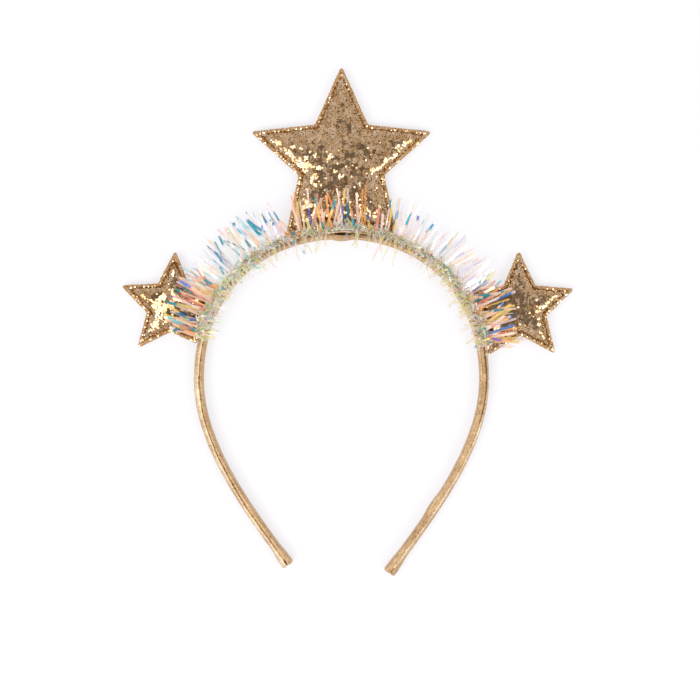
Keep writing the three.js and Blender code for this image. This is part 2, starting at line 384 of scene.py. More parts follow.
def store(mesh, name, kind, values):
    """Keeps one value for each point of a mesh under a name."""
    field = {"FLOAT_VECTOR": "vector", "FLOAT_COLOR": "color"}.get(kind, "value")
    attribute = mesh.attributes.new(name, kind, "POINT")
    attribute.data.foreach_set(field, np.asarray(values, np.float32).ravel())


def loft(rings):
    """Points and faces of a closed body through rings of equal point count, its ends fanned."""
    rings = np.asarray(rings)
    count = rings.shape[1]
    points = np.concatenate([rings.reshape(-1, 3), [rings[0].mean(axis=0), rings[-1].mean(axis=0)]])
    last = (len(rings) - 1) * count
    faces = []
    for i in range(count):
        following = (i + 1) % count
        faces.append((following, i, len(points) - 2))
        faces.append((last + i, last + following, len(points) - 1))
        for row in range(0, last, count):
            faces.append((row + i, row + following, row + count + following, row + count + i))
    return points, faces


def smoothstep(low, high, value):
    """A soft step from 0 at the low value to 1 at the high one."""
    t = np.clip((value - low) / (high - low), 0, 1)
    return t * t * (3 - 2 * t)


def ripple(points, size):
    """Smooth noise at points in millimetres, from about -1 to 1, with waves of a size."""
    waves = [noise.noise(Vector(point) / size) for point in points.reshape(-1, 3)]
    return np.reshape(waves, points.shape[:-1])


def add_piece(name, mesh, replaced=()):
    """A finished piece of the headband, in place."""
    piece = bpy.data.objects.new(name, mesh)
    mesh.name = name
    bpy.context.scene.collection.objects.link(piece)
    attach(piece, "root")
    if replaced:
        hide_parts(*replaced)
    return piece


# Geometry Nodes helpers

def new_tree(name, sizes):
    """A geometry tree with a named input for each size, what adds nodes to it, and its inputs."""
    tree = bpy.data.node_groups.new(name, "GeometryNodeTree")
    tree.interface.new_socket("Geometry", in_out="INPUT", socket_type="NodeSocketGeometry")
    for size in sizes:
        tree.interface.new_socket(size, in_out="INPUT", socket_type="NodeSocketFloat")
    tree.interface.new_socket("Geometry", in_out="OUTPUT", socket_type="NodeSocketGeometry")
    return tree, partial(add_node, tree), add_node(tree, "NodeGroupInput").outputs


def finish_tree(tree, instances, material, smooth):
    """Ends a tree: real faces, their shading and their material."""
    add = partial(add_node, tree)
    real = add("GeometryNodeRealizeInstances", {"Geometry": instances})
    shaded = add("GeometryNodeSetShadeSmooth", {"Geometry": real, "Shade Smooth": smooth})
    dressed = add("GeometryNodeSetMaterial", {"Geometry": shaded, "Material": material})
    add("NodeGroupOutput", {"Geometry": dressed})
    return tree


def grow(source, tree, sizes):
    """Runs a tree on a source mesh and returns the result as a plain mesh."""
    carrier = bpy.data.objects.new(tree.name, source)
    bpy.context.scene.collection.objects.link(carrier)
    modifier = carrier.modifiers.new(tree.name, "NODES")
    modifier.node_group = tree
    for item in tree.interface.items_tree:
        if item.in_out == "INPUT" and item.name in sizes:
            modifier[item.identifier] = float(sizes[item.name])
    layers = bpy.context.evaluated_depsgraph_get()
    grown = bpy.data.meshes.new_from_object(
        carrier.evaluated_get(layers), preserve_all_data_layers=True, depsgraph=layers)
    bpy.data.objects.remove(carrier)
    return grown


# Materials

def gold_leatherette():
    """Gold foil on soft leatherette: a satin metal skin with painted highlights on its ridges and painted
    shade in its hollows.
    """
    material, add, shader = new_material("gold_foil_leatherette")
    place = add("ShaderNodeTexCoord").outputs["Object"]
    # Foil grain of about 0.5 mm, drawn at 0.8 mm so that it shows, and worn patches of about 9 mm
    grain = add("ShaderNodeTexNoise", {
        "Vector": place, "Scale": 1 / (0.8 * MM), "Detail": 3.0}).outputs["Fac"]
    cloud = add("ShaderNodeTexNoise", {
        "Vector": place, "Scale": 1 / (9 * MM), "Detail": 2.0}).outputs["Fac"]
    relief = add("ShaderNodeAttribute", attribute_name="relief").outputs["Fac"]
    shift = add("ShaderNodeMapRange", {"Value": cloud, "To Min": 0.38, "To Max": 0.62})
    fleck = add("ShaderNodeMapRange", {
        "Value": grain, "From Min": 0.3, "From Max": 0.7, "To Min": -0.13, "To Max": 0.13})
    # The relief paints light by height: highlights on ridges and the seam's lap edge, shade in grooves,
    # slits near black
    relief_light_and_tone = add("ShaderNodeMath", {0: relief, 1: 0.6, 2: shift}, operation="MULTIPLY_ADD")
    relief_light_and_tone = add("ShaderNodeMath", {0: relief_light_and_tone, 1: fleck})
    colour = add("ShaderNodeValToRGB", {"Fac": relief_light_and_tone}, [
        (0.05, "#2A1A0C"), (0.28, "#825E37"), (0.42, "#B49065"), (0.56, "#C5A376"), (0.72, "#F0DAB4")])
    bump = add("ShaderNodeBump", {"Height": grain, "Strength": 0.6, "Distance": 0.15 * MM})
    rough = add("ShaderNodeMapRange", {"Value": grain, "To Min": 0.32, "To Max": 0.5})
    set_inputs(shader, {"Base Color": colour, "Metallic": 0.45, "Roughness": rough, "Normal": bump})
    return material


def glitter_ground():
    """Brown-gold lacquer cloth under the glitter, dark between flakes: painted highlight on the rim,
    painted shade in the groove.
    """
    material, add, shader = new_material("glitter_lacquer_ground")
    place = add("ShaderNodeTexCoord").outputs["Object"]
    # Specks of about 0.8 mm, the width of a flake
    speck = add("ShaderNodeTexNoise", {
        "Vector": place, "Scale": 1 / (0.8 * MM), "Detail": 2.0}).outputs["Fac"]
    rim = add("ShaderNodeAttribute", attribute_name="rim").outputs["Fac"]
    groove = add("ShaderNodeAttribute", attribute_name="groove").outputs["Fac"]
    # Painted highlight: the rim's cloth made lighter. Painted shade: the stitched groove made darker.
    lift = add("ShaderNodeMath", {0: rim, 1: 0.35, 2: speck}, operation="MULTIPLY_ADD")
    rim_light_and_groove_shade = add("ShaderNodeMath", {0: groove, 1: -0.36, 2: lift}, operation="MULTIPLY_ADD")
    colour = add("ShaderNodeValToRGB", {"Fac": rim_light_and_groove_shade}, [
        (0.3, "#4E2C0C"), (0.6, "#784814"), (0.95, "#D09C52")])
    set_inputs(shader, {"Base Color": colour, "Metallic": 0.4, "Roughness": 0.5})
    return material


def glitter_foil():
    """Cut metallised polyester flakes: small flat gold mirrors, each a little lighter or deeper."""
    material, add, shader = new_material("gold_glitter_foil")
    shade = add("ShaderNodeAttribute", attribute_name="shade").outputs["Fac"]
    colour = add("ShaderNodeValToRGB", {"Fac": shade}, [
        (0.0, "#B4884E"), (0.3, "#C6A072"), (0.65, "#D8B48B"), (1.0, "#EAD2B0")])
    set_inputs(shader, {"Base Color": colour, "Metallic": 1, "Roughness": 0.04})
    return material


def gold_thread():
    """Polyester sewing thread: golden brown with a fine twist that breaks its sheen."""
    material, add, shader = new_material("gold_sewing_thread")
    place = add("ShaderNodeTexCoord").outputs["Object"]
    # Twist of about 0.4 mm: a wave repeats after a third of the size that sets its scale
    twist = add("ShaderNodeTexWave", {
        "Vector": place, "Scale": 1 / (1.2 * MM), "Distortion": 2.0}).outputs["Fac"]
    colour = add("ShaderNodeValToRGB", {"Fac": twist}, [(0.0, "#925A12"), (1.0, "#DCA444")])
    bump = add("ShaderNodeBump", {"Height": twist, "Strength": 0.5, "Distance": 0.08 * MM})
    set_inputs(shader, {"Base Color": colour, "Roughness": 0.45, "Normal": bump})
    return material


def backing_cloth():
    """Plain gold lamé cloth behind the stars: a visible over-and-under weave with a soft gleam."""
    material, add, shader = new_material("gold_backing_cloth")
    place = add("ShaderNodeTexCoord").outputs["Object"]
    # Thread spacing of about 0.4 mm, drawn at 1.4 mm so that it shows, a third of the size given here
    warp, weft = (add("ShaderNodeTexWave", {
        "Vector": place, "Scale": 1 / (4.4 * MM), "Distortion": 0.6}, bands_direction=axis).outputs["Fac"]
        for axis in ("X", "Y"))
    weave = add("ShaderNodeMath", {0: warp, 1: weft}, operation="MULTIPLY")
    colour = add("ShaderNodeValToRGB", {"Fac": weave}, [(0.0, "#A07A44"), (1.0, "#D8BB88")])
    bump = add("ShaderNodeBump", {"Height": weave, "Strength": 0.6, "Distance": 0.12 * MM})
    set_inputs(shader, {"Base Color": colour, "Metallic": 0.3, "Roughness": 0.5, "Normal": bump})
    return material


def iridescent_film():
    """Dichroic tinsel film: clear strips, each in its own tint, with a length painted in another as
    iridescent reflection.
    """
    material, add, shader = new_material("iridescent_tinsel_film")
    tint, flash_tint = (add("ShaderNodeAttribute", attribute_name=name).outputs["Color"]
                        for name in ("tint", "flash_tint"))
    cover, flash_cover, reach, middle, half = (
        add("ShaderNodeAttribute", attribute_name=name).outputs["Fac"]
        for name in ("cover", "flash_cover", "reach", "flash_middle", "flash_half"))
    away = add("ShaderNodeMath", {0: reach, 1: middle}, operation="SUBTRACT")
    away = add("ShaderNodeMath", {0: away}, operation="ABSOLUTE")
    inside = add("ShaderNodeMath", {0: half, 1: away}, operation="SUBTRACT")
    lit = add("ShaderNodeMapRange", {"Value": inside, "From Min": -FLASH_EDGE, "From Max": FLASH_EDGE})
    # A mix node's inputs 6 and 7 are its colours, 2 and 3 its plain values
    colour = add("ShaderNodeMix", {"Factor": lit, 6: tint, 7: flash_tint}, data_type="RGBA")
    covered = add("ShaderNodeMix", {"Factor": lit, 2: cover, 3: flash_cover}, data_type="FLOAT")
    set_inputs(shader, {
        "Base Color": colour.outputs[2], "Alpha": covered, "Metallic": 0.3, "Roughness": 0.14})
    return material


def core_thread():
    """The garland's twisted binding thread: pale grey-yellow, flecked by its twist."""
    material, add, shader = new_material("twisted_core_thread")
    place = add("ShaderNodeTexCoord").outputs["Object"]
    # Flecks of about 1.5 mm, nearly as wide as the core
    speck = add("ShaderNodeTexNoise", {
        "Vector": place, "Scale": 1 / (1.5 * MM), "Detail": 2.0}).outputs["Fac"]
    colour = add("ShaderNodeValToRGB", {"Fac": speck}, [(0.3, "#A09A84"), (0.7, "#E8E5D2")])
    set_inputs(shader, {"Base Color": colour, "Roughness": 0.4})
    return material


def backlit_paper():
    """Matt paper lit from behind, as on a light table: it looks white and shadows stay faint."""
    material, add, shader = new_material("backlit_paper_sweep")
    place = add("ShaderNodeTexCoord").outputs["Object"]
    # Faint clouds of about 25 mm in the sheet
    cloud = add("ShaderNodeTexNoise", {"Vector": place, "Scale": 1 / (25 * MM)}).outputs["Fac"]
    colour = add("ShaderNodeValToRGB", {"Fac": cloud}, [(0.0, "#9E9EA0"), (1.0, "#A2A2A3")])
    set_inputs(shader, {
        "Base Color": colour, "Roughness": 0.9,
        "Emission Color": tone("#FBFAFC"), "Emission Strength": 0.63})
    return material


# The band's centre line

def half_line():
    """Points from the crown to the right leg's end and their distances; the left side mirrors them."""
    lean = math.radians(END_LEAN)
    knee = (END_OFFSET + END_PULL * math.sin(lean), END_PULL * math.cos(lean))
    shoulder = WIDEST_HEIGHT + SHOULDER_PULL
    hip = WIDEST_HEIGHT - LEG_PULL
    curves = [
        [(0, CROWN_HEIGHT), (CROWN_PULL, CROWN_HEIGHT), (HALF_SPAN, shoulder), (HALF_SPAN, WIDEST_HEIGHT)],
        [(HALF_SPAN, WIDEST_HEIGHT), (HALF_SPAN, hip), knee, (END_OFFSET, 0)],
    ]
    t = np.linspace(0, 1, LINE_STEPS)[:, None]
    spans = []
    for start, pull, push, end in np.array(curves):
        spans.append((1 - t) ** 3 * start + 3 * (1 - t) ** 2 * t * pull
                     + 3 * (1 - t) * t ** 2 * push + t ** 3 * end)
    points = np.concatenate([spans[0], spans[1][1:]])
    distance = np.concatenate([[0], np.cumsum(np.linalg.norm(np.diff(points, axis=0), axis=1))])
    return points, distance


LINE_POINTS, LINE_DISTANCE = half_line()
LINE_RUNS = np.gradient(LINE_POINTS, LINE_DISTANCE, axis=0)
HALF_LENGTH = LINE_DISTANCE[-1]
BAND_LOW, BAND_HIGH = (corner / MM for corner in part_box("band"))
AXIS = (BAND_LOW.x + BAND_HIGH.x) / 2
DROP = BAND_HIGH.y - CROWN_HEIGHT - BAND_THICKNESS / 2


def place_at(along):
    """Points, runs and outward directions in plan at distances from the crown, right side positive."""
    along = np.asarray(along, float)
    side = np.where(along < 0, -1, 1)
    point = [np.interp(abs(along), LINE_DISTANCE, LINE_POINTS[:, i]) for i in (0, 1)]
    run = [np.interp(abs(along), LINE_DISTANCE, LINE_RUNS[:, i]) for i in (0, 1)]
    run = np.stack([run[0], side * run[1]], axis=-1)
    run /= np.linalg.norm(run, axis=-1, keepdims=True)
    point = np.stack([AXIS + side * point[0], DROP + point[1]], axis=-1)
    return point, run, np.stack([-run[..., 1], run[..., 0]], axis=-1)


def beside(along, out, height):
    """Points offset outward from the centre line, at heights over the floor."""
    point, _, outward = place_at(along)
    plan = point + outward * np.asarray(out)[..., None]
    return np.concatenate([plan, np.broadcast_to(height, plan.shape[:-1])[..., None]], axis=-1)


# Band

def band_section():
    """The section's corners, cut again and again until they are round, and its outward normals."""
    corners = np.array(BAND_SECTION, float)
    for _ in range(SECTION_ROUNDS):
        following = np.roll(corners, -1, axis=0)
        corners = np.stack([0.75 * corners + 0.25 * following, 0.25 * corners + 0.75 * following], axis=1)
        corners = corners.reshape(-1, 2)
    real = corners * (BAND_THICKNESS, BAND_DEPTH)
    chord = np.roll(real, -1, axis=0) - np.roll(real, 1, axis=0)
    normal = np.stack([chord[:, 1], -chord[:, 0]], axis=1)
    return corners, normal / np.linalg.norm(normal, axis=1, keepdims=True)


def swell_at(along, side):
    """How far the wrap swells out on its inner or outer side."""
    swell = np.zeros_like(along)
    for row in BAND_SWELLS:
        swell += row[side] * np.clip(1 - ((along - row["along"]) / row["reach"]) ** 2, 0, 1) ** 2
    return swell


def band_relief(along, out, front, points):
    """How far the wrap stands off the plain band: its lapped seam, wrinkles, streaks and slits."""
    seam, groove, lap, lip = (np.interp(along, SEAM[:, 0], column) for column in SEAM[:, 1:].T)
    level = np.zeros_like(along)
    line = np.stack([along, level, level], axis=-1)
    for height, size in SEAM_WANDER:
        seam = seam + height * ripple(line, size)
    past = out - seam
    step = np.where(past > 0, lap + lip * np.exp(-past / LAP_FADE), -groove * np.exp(past / GROOVE_FADE))
    relief = step * front
    for height, size in WRINKLES:
        relief += height * ripple(points, size)
    streak = np.stack([along / STREAK_LENGTH, out / STREAK_WIDTH, level + STREAK_PLANE], axis=-1)
    relief += STREAK_HEIGHT * front * ripple(streak, 1)
    for slit in SLITS:
        spread = ((along - slit["along"]) / slit["half_length"]) ** 2
        spread = spread + ((out - slit["out"]) / slit["half_width"]) ** 2
        relief -= front * slit["depth"] * np.clip(1 - spread, 0, 1) ** 0.5
        relief += front * LIP_HEIGHT * np.exp(-((np.sqrt(spread) - LIP_PLACE) / LIP_SPREAD) ** 2)
    return relief


def band_end(ring, direction, run):
    """Rings that close an end of the wrap: a turned rim, radial folds and a recess."""
    middle = ring.mean(axis=0)
    turn = np.linspace(0, 2 * math.pi, len(ring), endpoint=False)
    folds = END_FOLD_HEIGHT * np.cos(END_FOLDS * turn + END_FOLD_SKEW * np.sin(2 * turn))
    rings = []
    for scale, offset in END_RINGS:
        push = direction * (offset + 4 * scale * (1 - scale) * folds)
        closed = middle + (ring - middle) * scale
        closed[:, :2] += push[:, None] * run
        rings.append(closed)
    return rings


def make_band(material):
    """The wrapped band in one skin, from one folded end to the other."""
    corners, normal = band_section()
    stations = np.linspace(LEFT_END_TRIM - HALF_LENGTH, HALF_LENGTH, BAND_STATIONS)
    along = np.repeat(stations[:, None], len(corners), axis=1)
    swell = np.where(corners[:, 0] < 0, swell_at(along, "inner"), swell_at(along, "outer"))
    out = corners[:, 0] * (BAND_THICKNESS + 2 * swell)
    up = np.repeat(corners[None, :, 1] * BAND_DEPTH, len(stations), axis=0)
    front = smoothstep(*FRONT_FACING, np.broadcast_to(normal[:, 1], along.shape))
    relief = band_relief(along, out, front, beside(along, out, up))
    height = np.clip(up + relief * normal[:, 1], 0, None)
    rings = beside(along, out + relief * normal[:, 0], height)
    _, runs, _ = place_at(stations[[0, -1]])
    left = band_end(rings[0], -1, runs[0])
    right = band_end(rings[-1], 1, runs[1])
    mesh = new_mesh("band_wrap", *loft([*left[::-1], *rings, *right]))
    plain = np.zeros(len(END_RINGS) * len(corners))
    # The wrap's colour follows this relief: painted highlights on its rises, painted shade in its hollows
    # and ends.
    store(mesh, "relief", "FLOAT", np.concatenate([plain, relief.ravel(), plain, [END_SHADE, END_SHADE]]))
    mesh.materials.append(material)
    return add_piece("band_wrap", mesh, ["band"])


# Stars

def star_outline(star):
    """A five-pointed outline about its centre, points and waists rounded, with a base between its feet."""
    half_angle = math.radians(POINT_HALF_ANGLE)
    half_pitch = math.radians(POINT_PITCH / 2)
    sharp = star["radius"] - TIP_ROUNDING + TIP_ROUNDING / math.sin(half_angle)
    waist = sharp * math.sin(half_angle) / math.sin(half_angle + half_pitch)
    point_arc = math.radians(90) - half_angle
    waist_arc = math.radians(90 - POINT_PITCH / 2) - half_angle
    waist_centre = waist + WAIST_ROUNDING / math.cos(waist_arc)
    tip_steps = np.linspace(-point_arc, point_arc, TIP_STEPS)
    waist_steps = np.linspace(waist_arc, -waist_arc, WAIST_STEPS)
    corners = []
    for i in range(POINTS):
        aim = math.radians(90 + POINT_PITCH * i)
        tip_centre = (star["feet"] if i in FOOT_POINTS else star["radius"]) - TIP_ROUNDING
        arcs = [(aim, tip_centre, TIP_ROUNDING, tip_steps)]
        if i != FOOT_POINTS[0]:
            arcs.append((aim + half_pitch, waist_centre, -WAIST_ROUNDING, waist_steps))
        for turn, centre, rounding, steps in arcs:
            corners += [(centre * math.cos(turn) + rounding * math.cos(turn + step),
                         centre * math.sin(turn) + rounding * math.sin(turn + step)) for step in steps]
        if i == FOOT_POINTS[0]:
            corners += star_base(star).tolist()
    outline = []
    for start, end in zip(np.array(corners), np.roll(corners, -1, axis=0)):
        pieces = max(1, round(np.linalg.norm(end - start) / OUTLINE_STEP))
        outline += [start + (end - start) * i / pieces for i in range(pieces)]
    return np.array(outline), sharp * math.sin(half_angle)


def star_base(star):
    """The edge between a star's feet, in its own frame: it follows the band's outer face, a gap away."""
    steps = np.arange(1, BASE_STEPS) * 2 / BASE_STEPS - 1
    plan = beside(star["along"] + star["reach"] * steps, BAND_THICKNESS / 2 + GAP, 0)
    return (plan[:, :2] - star["centre"]) @ np.stack([star["run"], star["up"]]).T


def stand_star(star):
    """Where a star stands: its feet are a gap off the band, at a reach on each side of its place."""
    half_pitch = math.radians(POINT_PITCH / 2)
    foot_centre = star["feet"] - star["rounding"]
    stand = BAND_THICKNESS / 2 + GAP + star["rounding"]
    base = 2 * foot_centre * math.sin(half_pitch)
    low, high = 0, base
    for _ in range(STAND_HALVINGS):
        half = (low + high) / 2
        feet = beside(np.array([star["along"] - half, star["along"] + half]), stand, 0)
        if np.linalg.norm(feet[1] - feet[0]) < base:
            low = half
        else:
            high = half
    run = (feet[1] - feet[0])[:2] / base
    up = np.array([-run[1], run[0]])
    return feet.mean(axis=0)[:2] + up * foot_centre * math.cos(half_pitch), run, up, half


def star_ring(star, inset, height):
    """The star's outline drawn in by an inset and set at a height, in the headband's frame."""
    scale = 1 - inset / star["apothem"]
    plan = star["centre"] + scale * (star["outline"] @ np.stack([star["run"], star["up"]]))
    return np.concatenate([plan, np.broadcast_to(height, len(plan))[:, None]], axis=1)


def star_inset(star, plan):
    """How far points in plan lie inside a star's edge; negative outside it."""
    local = (plan - star["centre"]) @ np.stack([star["run"], star["up"]]).T
    turn = np.degrees(np.arctan2(local[:, 0], local[:, 1]))
    from_point = np.radians(np.abs((turn + POINT_PITCH / 2) % POINT_PITCH - POINT_PITCH / 2))
    reach = np.linalg.norm(local, axis=1)
    inset = star["apothem"] - reach * np.sin(math.radians(POINT_HALF_ANGLE) + from_point)
    return np.where(abs(turn) > FOOT_TURN, star["feet"] - reach, inset)


def panel_height(inset, softness):
    """The padded panel over its seam: a sewn rim, a dip at the stitching, then the puffed field."""
    edge = RIM_DROP * np.clip(1 - inset / RIM_ROUNDING, 0, 1) ** 2
    dip = STITCH_DIP * np.exp(-((inset - STITCH_INSET) / STITCH_SPREAD) ** 2)
    puff = PUFF * (1 - np.exp(-np.clip(inset - STITCH_INSET, 0, None) / softness))
    return RIM_HEIGHT - edge - dip + puff


def make_panel(star, material):
    """The padded glitter front, with soft hollows in its field and puckers along the stitching."""
    apothem = star["apothem"]
    limit = PANEL_INNERMOST * apothem
    insets = np.array([i for i in PANEL_INSETS if i < limit] + [apothem * PANEL_MIDDLE])
    seam = STAR_SEAM_HEIGHT + GAP / 2
    edges = np.linalg.norm(np.roll(star["outline"], -1, axis=0) - star["outline"], axis=1)
    pucker = PUCKER_HEIGHT * np.sin(2 * math.pi * np.cumsum(edges) / (2 * STITCH_PITCH))
    rings = [star_ring(star, 0, seam)]
    for inset in insets:
        ring = star_ring(star, inset, seam + panel_height(inset, star["softness"]))
        soft = smoothstep(*FIELD_START, inset)
        ring[:, 2] += soft * sum(height * ripple(ring, size) for height, size in FIELD_HOLLOWS)
        local = (1 - inset / apothem) * star["outline"]
        for *place, spread, height in star["lumps"]:
            far = np.linalg.norm(local - place, axis=1)
            ring[:, 2] += soft * height * np.exp(-0.5 * (far / spread) ** 2)
        ring[:, 2] += pucker * math.exp(-((inset - PUCKER_INSET) / PUCKER_SPREAD) ** 2)
        rings.append(ring)
    mesh = new_mesh("panel", *loft(rings))
    every = np.concatenate([[0], insets])
    count = len(star["outline"])
    rim = np.append(np.repeat(1 - smoothstep(*RIM_FADE, every), count), [1, 0])
    groove = np.append(np.repeat(np.exp(-((every - STITCH_INSET) / STITCH_SPREAD) ** 2), count), [0, 0])
    store(mesh, "rim", "FLOAT", rim)
    store(mesh, "groove", "FLOAT", groove)
    mesh.materials.append(material)
    panel = add_piece(f"star_{star['name']}_panel", mesh, [f"star_{star['name']}_front"])
    return panel


def make_backing(star, material):
    """The flat cloth back, its cut edge rounded and the stitch line pressed into it."""
    high = STAR_SEAM_HEIGHT - GAP / 2
    low = high - BACK_PANEL
    middle = BACK_MIDDLE * star["apothem"]
    profile = [(middle, low), *((inset, low + rise) for inset, rise in BACK_LOWER),
               *((inset, high - drop) for inset, drop in BACK_UPPER), (middle, high)]
    mesh = new_mesh("backing", *loft([star_ring(star, inset, height) for inset, height in profile]))
    mesh.materials.append(material)
    return add_piece(f"star_{star['name']}_backing", mesh, [f"star_{star['name']}_back"])


def flake_tree(material):
    """Flakes strewn over the upper side of a panel, lying along it in patches that tilt together."""
    tree, add, sizes = new_tree("glitter_flakes", [
        "Radius", "Spacing", "Patch size", "Patch tilt", "Clump size", "Clump tilt", "Flake tilt",
        "Stray tilt", "Stray share", "Rim tilt", "Rim painted light", "Rim size", "Lean X", "Lean Y",
        "Centre X", "Centre Y", "Bow"])
    rim, groove = (
        add("GeometryNodeInputNamedAttribute", {"Name": name}, data_type="FLOAT").outputs[0]
        for name in ("rim", "groove"))
    normal = add("GeometryNodeInputNormal")
    facing = add("ShaderNodeSeparateXYZ", {0: normal}).outputs["Z"]
    upper = add("FunctionNodeCompare", {0: facing, 1: FLAKE_FACING}, operation="GREATER_THAN")
    thin = add("ShaderNodeMath", {0: groove, 1: -GROOVE_THINNING, 2: 1.0}, operation="MULTIPLY_ADD")
    strewn = add("GeometryNodeDistributePointsOnFaces", {
        "Mesh": sizes["Geometry"], "Selection": upper, "Distance Min": sizes["Spacing"],
        "Density Max": 1 / (FLAKE_CROWDING * MM) ** 2, "Density Factor": thin, "Seed": SEED,
    }, distribute_method="POISSON").outputs

    # Patterns over the panel: broad patches, and small clumps that also share a shade
    place = add("GeometryNodeInputPosition").outputs[0]
    coarse, fine = (add("ShaderNodeMath", {0: 1.0, 1: sizes[name]}, operation="DIVIDE")
                    for name in ("Patch size", "Clump size"))
    patch = add("ShaderNodeTexNoise", {"Vector": place, "Scale": coarse, "Detail": 1.0}).outputs["Color"]
    clump = add("ShaderNodeTexVoronoi", {"Vector": place, "Scale": fine}).outputs["Color"]
    own = add("FunctionNodeRandomValue", {2: DARKEST_SHADE, 3: 1.0, "Seed": 1}).outputs[1]
    shared = add("ShaderNodeSeparateXYZ", {0: clump}).outputs["Z"]
    shade = add("ShaderNodeMix", {"Factor": CLUMP_SHADE, 2: own, 3: shared}, data_type="FLOAT")
    # On the rim the flakes are made lighter, a painted highlight on the rolled edge.
    shade = add("ShaderNodeMath", {0: rim, 1: sizes["Rim painted light"], 2: shade}, operation="MULTIPLY_ADD")
    shaded = add("GeometryNodeStoreNamedAttribute", {
        "Geometry": strewn["Points"], "Name": "shade", "Value": shade}, data_type="FLOAT")

    # What turns a flake's face from the panel's: directions, each with how much it counts
    patch_way, clump_way = (
        add("ShaderNodeVectorMath", {0: pattern, 1: (0.5, 0.5, 0.5)}, operation="SUBTRACT")
        for pattern in (patch, clump))
    loose = add("FunctionNodeRandomValue", {0: (-1, -1, -1), 1: (1, 1, 1), "Seed": 2},
                data_type="FLOAT_VECTOR")
    chance = add("FunctionNodeRandomValue", {2: 0.0, 3: 1.0, "Seed": 5}).outputs[1]
    stray = add("ShaderNodeMath", {0: chance, 1: sizes["Stray share"]}, operation="LESS_THAN")
    looseness = sizes["Flake tilt"]
    for share, tilt in ((stray, sizes["Stray tilt"]), (rim, sizes["Rim tilt"])):
        looseness = add("ShaderNodeMath", {0: share, 1: tilt, 2: looseness}, operation="MULTIPLY_ADD")
    lean = add("ShaderNodeCombineXYZ", {"X": sizes["Lean X"], "Y": sizes["Lean Y"]})
    field = add("ShaderNodeMath", {0: 1.0, 1: rim}, operation="SUBTRACT")
    centre = add("ShaderNodeCombineXYZ", {"X": sizes["Centre X"], "Y": sizes["Centre Y"]})
    away = add("ShaderNodeVectorMath", {0: place, 1: centre}, operation="SUBTRACT")
    away = add("ShaderNodeVectorMath", {0: away, 1: (1, 1, 0)}, operation="MULTIPLY")
    aim = strewn["Normal"]
    for way, weight in ((patch_way, sizes["Patch tilt"]), (clump_way, sizes["Clump tilt"]),
                        (loose, looseness), (lean, field), (away, sizes["Bow"])):
        tilt = add("ShaderNodeVectorMath", {0: way, "Scale": weight}, operation="SCALE")
        aim = add("ShaderNodeVectorMath", {0: aim, 1: tilt})

    # One flake on each point
    laid = add("FunctionNodeAlignRotationToVector", {"Vector": aim}, axis="Z")
    angle = add("FunctionNodeRandomValue", {2: 0.0, 3: 2 * math.pi, "Seed": 3}).outputs[1]
    spin = add("FunctionNodeAxisAngleToRotation", {"Axis": (0, 0, 1), "Angle": angle})
    turned = add("FunctionNodeRotateRotation", {"Rotation": laid, "Rotate By": spin},
                 rotation_space="LOCAL")
    lift = add("ShaderNodeVectorMath", {0: strewn["Normal"], "Scale": FLAKE_LIFT * MM}, operation="SCALE")
    lifted = add("GeometryNodeSetPosition", {"Geometry": shaded, "Offset": lift})
    flake = add("GeometryNodeMeshCircle", {"Vertices": FLAKE_SIDES, "Radius": sizes["Radius"]},
                fill_type="NGON")
    least, most = FLAKE_SCALE
    vary = add("FunctionNodeRandomValue", {2: least, 3: most, "Seed": 4}).outputs[1]
    slim = add("ShaderNodeMix", {"Factor": rim, 2: 1.0, 3: sizes["Rim size"]}, data_type="FLOAT")
    scale = add("ShaderNodeMath", {0: vary, 1: slim}, operation="MULTIPLY")
    flakes = add("GeometryNodeInstanceOnPoints", {
        "Points": lifted, "Instance": flake, "Rotation": turned, "Scale": scale})
    return finish_tree(tree, flakes, material, False)


def stitch_tree(material):
    """Stitches along a sewn line: short plump lengths of thread, end to end with a small space."""
    tree, add, sizes = new_tree("star_stitches", ["Pitch", "Length", "Width"])
    line = add("GeometryNodeMeshToCurve", {"Mesh": sizes["Geometry"]})
    spaced = add("GeometryNodeResampleCurve", {"Curve": line, "Length": sizes["Pitch"]}, mode="LENGTH")
    run = add("GeometryNodeInputTangent")
    laid = add("FunctionNodeAlignRotationToVector", {"Vector": run}, axis="X")
    stitch = add("GeometryNodeMeshUVSphere", {
        "Segments": THREAD_SIDES, "Rings": THREAD_RINGS, "Radius": 0.5})
    size = add("ShaderNodeCombineXYZ", {"X": sizes["Length"], "Y": sizes["Width"], "Z": sizes["Width"]})
    stitches = add("GeometryNodeInstanceOnPoints", {
        "Points": spaced, "Instance": stitch, "Rotation": laid, "Scale": size})
    return finish_tree(tree, stitches, material, True)


def make_stitches(star, tree):
    """The sewn line round a star, in the dip of its panel."""
    count = len(star["outline"])
    height = STAR_SEAM_HEIGHT + GAP / 2 + panel_height(STITCH_INSET, star["softness"]) + STITCH_LIFT
    ring = star_ring(star, STITCH_INSET, height)
    line = new_mesh("stitch_line", ring, [], [(i, (i + 1) % count) for i in range(count)])
    mesh = grow(line, tree, {
        "Pitch": STITCH_PITCH * MM, "Length": STITCH_LENGTH * MM, "Width": THREAD_WIDTH * MM})
    return add_piece(f"star_{star['name']}_stitches", mesh)


